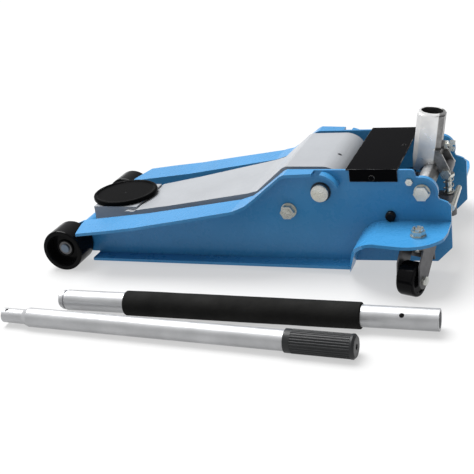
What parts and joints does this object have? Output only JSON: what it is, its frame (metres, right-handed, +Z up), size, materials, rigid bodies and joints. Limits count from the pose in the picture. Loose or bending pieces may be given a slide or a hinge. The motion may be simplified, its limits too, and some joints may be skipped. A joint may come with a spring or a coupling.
{
  "type": "trolley jack",
  "caption": "Low-profile hydraulic floor jack with lift arm, swivel saddle, front rollers, rear casters, handle socket and a two-section handle laid beside it.",
  "frame": {"origin": "on the floor, at the middle of the box round the jack and its handle", "axes": "+X from the front rollers to the handle end, +Y to the jack's right side, +Z up"},
  "size_m": [0.704, 0.5998, 0.2316],
  "materials": {
    "blue_paint": "gloss",
    "silver_paint": "satin",
    "cast_socket": "satin, cast",
    "zinc_steel": "zinc plated",
    "dark_steel": "oiled",
    "spring_steel": "satin",
    "axle_steel": "satin",
    "black_paint": "satin",
    "roller_black": "semi-gloss",
    "black_plastic": "matte",
    "black_rubber": "matte",
    "tube_silver": "satin",
    "black_foam": "matte foam",
    "grey_grip": "matte"
  },
  "bodies": {
    "chassis": {"side_plate_left": "blue_paint", "side_plate_right": "blue_paint", "caster_shelf_left": "blue_paint", "caster_shelf_right": "blue_paint", "front_cross_tube": "blue_paint", "front_axle": "axle_steel", "axle_clips": "dark_steel", "tie_rod": "zinc_steel", "tie_rod_nuts": "zinc_steel", "pivot_shaft": "zinc_steel", "unit_base_plate": "blue_paint", "unit_bolts": "dark_steel", "valve_block": "dark_steel", "reservoir": "dark_steel", "ram_cylinder": "dark_steel", "gland_nut": "dark_steel", "ram_spring": "spring_steel", "pump_barrel": "dark_steel", "pump_spring": "spring_steel", "socket_bolts": "zinc_steel", "socket_spring": "spring_steel", "stop_bolts": "zinc_steel", "stop_rod": "zinc_steel", "cover": "black_paint", "cover_screws": "black_paint", "access_plugs": "black_plastic", "caster_kingpins": "zinc_steel", "caster_nuts": "zinc_steel"},
    "front_roller_left": {"front_roller_left": "roller_black"},
    "front_roller_right": {"front_roller_right": "roller_black"},
    "lift_arm": {"lift_arm": "silver_paint", "lever_pin": "zinc_steel", "head_pin": "zinc_steel"},
    "saddle_head": {"saddle_head": "silver_paint", "link_pin": "zinc_steel"},
    "saddle": {"saddle_cup": "dark_steel", "saddle_pad": "black_rubber"},
    "levelling_links": {"link_left": "dark_steel", "link_right": "dark_steel"},
    "ram": {"ram_rod": "zinc_steel", "ram_head": "dark_steel"},
    "handle_socket": {"handle_socket": "cast_socket", "socket_tube": "cast_socket", "roller_bolt": "zinc_steel"},
    "pump_roller": {"pump_roller": "dark_steel"},
    "pump_plunger": {"pump_plunger": "zinc_steel"},
    "release_driver": {"release_driver": "dark_steel"},
    "release_valve": {"release_valve": "dark_steel"},
    "wing_screw": {"wing_screw": "zinc_steel"},
    "caster_left": {"caster_fork_left": "dark_steel", "caster_axle_left": "zinc_steel"},
    "caster_right": {"caster_fork_right": "dark_steel", "caster_axle_right": "zinc_steel"},
    "caster_wheel_left": {"caster_wheel_left": "roller_black"},
    "caster_wheel_right": {"caster_wheel_right": "roller_black"},
    "lower_handle": {"lower_handle": "tube_silver", "handle_tip": "tube_silver", "foam_sleeve": "black_foam"},
    "upper_handle": {"upper_handle": "tube_silver", "grip": "grey_grip"}
  },
  "joints": [
    {"name": "arm_lift", "type": "hinge", "parent": "chassis", "child": "lift_arm", "pos_m": [0.145, 0.08946, 0.131], "axis": [0, 1, 0], "range_deg": [0, 62]},
    {"name": "head_level", "type": "hinge", "parent": "lift_arm", "child": "saddle_head", "pos_m": [-0.223, 0.08946, 0.064], "axis": [0, 1, 0], "range_deg": [-62, 0]},
    {"name": "saddle_swivel", "type": "hinge", "parent": "saddle_head", "child": "saddle", "pos_m": [-0.255, 0.08946, 0.083], "axis": [0, 0, 1], "continuous": true},
    {"name": "link_swing", "type": "hinge", "parent": "chassis", "child": "levelling_links", "pos_m": [0.0895, 0.08946, 0.099], "axis": [0, 1, 0], "range_deg": [0, 62]},
    {"name": "ram_slide", "type": "slide", "parent": "chassis", "child": "ram", "axis": [-1, 0, 0], "range_m": [0, 0.0516], "deforming": ["ram_spring"]},
    {"name": "handle_swing", "type": "hinge", "parent": "chassis", "child": "handle_socket", "pos_m": [0.303, 0.08946, 0.132], "axis": [0, 1, 0], "range_deg": [0, 45], "stiffness_Nm_per_rad": 4, "springref_deg": -20.05},
    {"name": "roller_spin", "type": "hinge", "parent": "handle_socket", "child": "pump_roller", "pos_m": [0.328, 0.08946, 0.133], "axis": [0, 1, 0], "continuous": true},
    {"name": "plunger_slide", "type": "slide", "parent": "chassis", "child": "pump_plunger", "axis": [0, 0, -1], "range_m": [0, 0.01934], "deforming": ["pump_spring"]},
    {"name": "release_turn", "type": "hinge", "parent": "handle_socket", "child": "release_driver", "pos_m": [0.29459, 0.08946, 0.14337], "axis": [0.1478, 0, 0.989], "range_deg": [0, 90]},
    {"name": "valve_turn", "type": "hinge", "parent": "chassis", "child": "release_valve", "pos_m": [0.2904, 0.08946, 0.08], "axis": [0, 0, 1], "range_deg": [0, 90]},
    {"name": "wing_screw_turn", "type": "hinge", "parent": "handle_socket", "child": "wing_screw", "pos_m": [0.32115, 0.08946, 0.17226], "axis": [0.989, 0, -0.1478], "range_deg": [0, 360]},
    {"name": "front_roller_left_spin", "type": "hinge", "parent": "chassis", "child": "front_roller_left", "pos_m": [-0.315, -0.03854, 0.037], "axis": [0, 1, 0], "continuous": true},
    {"name": "front_roller_right_spin", "type": "hinge", "parent": "chassis", "child": "front_roller_right", "pos_m": [-0.315, 0.21746, 0.037], "axis": [0, 1, 0], "continuous": true},
    {"name": "caster_left_swivel", "type": "hinge", "parent": "chassis", "child": "caster_left", "pos_m": [0.304, -0.06904, 0.07], "axis": [0, 0, 1], "continuous": true},
    {"name": "caster_right_swivel", "type": "hinge", "parent": "chassis", "child": "caster_right", "pos_m": [0.304, 0.24796, 0.07], "axis": [0, 0, 1], "continuous": true},
    {"name": "caster_wheel_left_spin", "type": "hinge", "parent": "caster_left", "child": "caster_wheel_left", "pos_m": [0.29628, -0.09282, 0.026], "axis": [0.9511, -0.309, 0], "continuous": true},
    {"name": "caster_wheel_right_spin", "type": "hinge", "parent": "caster_right", "child": "caster_wheel_right", "pos_m": [0.29628, 0.27173, 0.026], "axis": [0.9511, 0.309, 0], "continuous": true},
    {"name": "lower_handle_lift", "type": "slide", "parent": "chassis", "child": "lower_handle", "axis": [0, 0, 1], "range_m": [0, 0.3]},
    {"name": "upper_handle_lift", "type": "slide", "parent": "chassis", "child": "upper_handle", "axis": [0, 0, 1], "range_m": [0, 0.3]}
  ],
  "couplings": [
    {"joint": "head_level", "follows": "arm_lift", "ratio": -1},
    {"joint": "link_swing", "follows": "arm_lift", "ratio": 1},
    {"joint": "ram_slide", "follows": "arm_lift", "m_per_rad": 0.047596},
    {"joint": "plunger_slide", "follows": "handle_swing", "m_per_rad": 0.0245},
    {"joint": "valve_turn", "follows": "release_turn", "ratio": 1}
  ]
}
